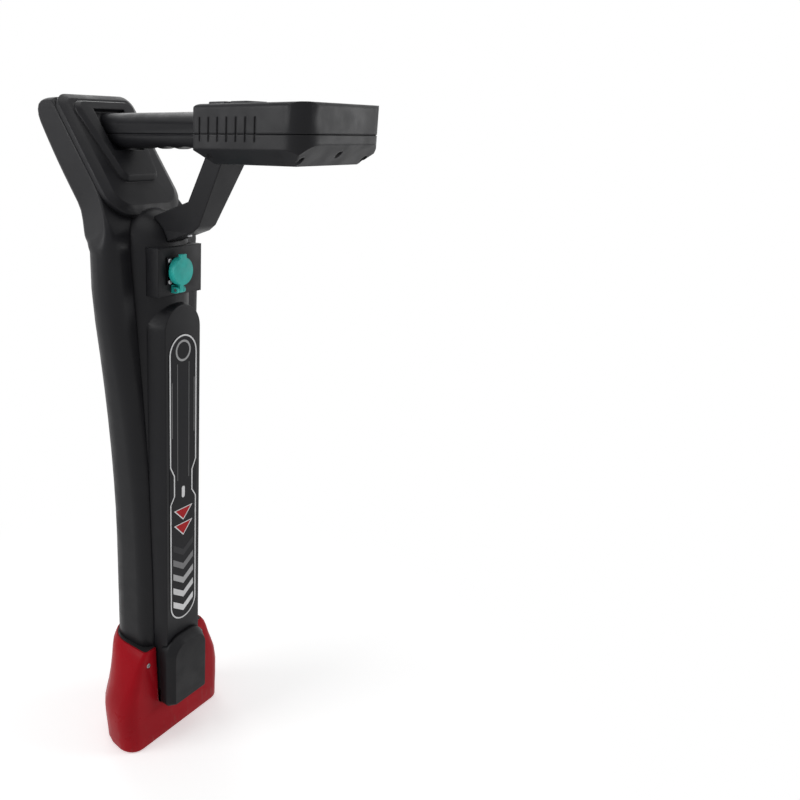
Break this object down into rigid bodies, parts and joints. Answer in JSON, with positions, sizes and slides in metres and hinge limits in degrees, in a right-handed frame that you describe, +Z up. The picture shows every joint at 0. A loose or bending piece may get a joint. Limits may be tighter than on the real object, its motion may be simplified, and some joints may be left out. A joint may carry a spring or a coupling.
{
  "type": "cable_locator",
  "caption": "Receiver wand of an underground cable locator: charcoal upright wand with a red boot, a cantilevered display box on a handle, a strut and a capped side socket",
  "frame": {"origin": "on the sole of the boot, in the wand's middle plane, under the front lobe's axis less 4 mm", "axes": "+X forward, from the wand towards the display box; +Y the wand's left; +Z up along the wand"},
  "size_m": [0.326, 0.1556, 0.6912],
  "materials": {
    "charcoal_plastic": "finely grained moulded plastic with a soft sheen",
    "black_plastic": "matte moulded plastic",
    "red_rubber": "smooth dark red moulded rubber with a sheen",
    "teal_rubber": "soft teal rubber",
    "screw_steel": "plain steel",
    "dark_steel": "blackened steel",
    "label_film": "printed film",
    "cell_wrap": "shrink wrap",
    "seal_rubber": "soft rubber",
    "window_glass": "clear window",
    "display_cell": "grey-green display",
    "board_green": "lacquered circuit board",
    "key_rubber": "moulded silicone",
    "socket_metal": "black-plated connector shell",
    "spine_board": "glass-fibre laminate",
    "ferrite": "fired ferrite",
    "copper_wire": "enamelled wire"
  },
  "bodies": {
    "wand": {"rear_shell": "charcoal_plastic", "front_shell": "charcoal_plastic", "head_screws": "dark_steel", "label": "label_film", "boot": "red_rubber", "boot_seal": "seal_rubber", "boot_screws": "screw_steel", "battery_tray": "black_plastic", "battery_cells": "cell_wrap", "upper_case": "charcoal_plastic", "lower_case": "charcoal_plastic", "case_seal": "seal_rubber", "case_screws": "dark_steel", "strut_screw": "screw_steel", "display_window": "window_glass", "display_panel": "display_cell", "main_board": "board_green", "loudspeaker": "black_plastic", "key_mat": "seal_rubber", "socket_housing": "charcoal_plastic", "socket": "socket_metal", "socket_insert": "black_plastic", "socket_screws": "screw_steel", "cap_strap": "teal_rubber", "cap_pin": "screw_steel", "spine": "spine_board", "receiver_board": "board_green", "lower_ferrite": "ferrite", "lower_winding": "copper_wire", "upper_ferrite": "ferrite", "upper_winding": "copper_wire", "upright_ferrite": "ferrite", "upright_winding": "copper_wire"},
    "key_power": {"key_power": "key_rubber"},
    "key_mode": {"key_mode": "key_rubber"},
    "key_frequency": {"key_frequency": "key_rubber"},
    "key_gain_up": {"key_gain_up": "key_rubber"},
    "key_gain_down": {"key_gain_down": "key_rubber"},
    "key_sound": {"key_sound": "key_rubber"},
    "dust_cap": {"dust_cap": "teal_rubber"},
    "battery_cover": {"battery_cover": "black_plastic"}
  },
  "joints": [
    {"name": "key_power_press", "type": "slide", "parent": "wand", "child": "key_power", "axis": [0, 0, -1], "range_m": [0, 0.001], "stiffness_N_per_m": 1800},
    {"name": "key_mode_press", "type": "slide", "parent": "wand", "child": "key_mode", "axis": [0, 0, -1], "range_m": [0, 0.001], "stiffness_N_per_m": 1800},
    {"name": "key_frequency_press", "type": "slide", "parent": "wand", "child": "key_frequency", "axis": [0, 0, -1], "range_m": [0, 0.001], "stiffness_N_per_m": 1800},
    {"name": "key_gain_up_press", "type": "slide", "parent": "wand", "child": "key_gain_up", "axis": [0, 0, -1], "range_m": [0, 0.001], "stiffness_N_per_m": 1800},
    {"name": "key_gain_down_press", "type": "slide", "parent": "wand", "child": "key_gain_down", "axis": [0, 0, -1], "range_m": [0, 0.001], "stiffness_N_per_m": 1800},
    {"name": "key_sound_press", "type": "slide", "parent": "wand", "child": "key_sound", "axis": [0, 0, -1], "range_m": [0, 0.001], "stiffness_N_per_m": 1800},
    {"name": "dust_cap_hinge", "type": "hinge", "parent": "wand", "child": "dust_cap", "pos_m": [0.0519, -0.007, 0.514], "axis": [0, 1, 0], "range_deg": [0, 110]},
    {"name": "battery_cover_pull", "type": "slide", "parent": "wand", "child": "battery_cover", "axis": [1, 0, 0], "range_m": [0, 0.025]}
  ]
}
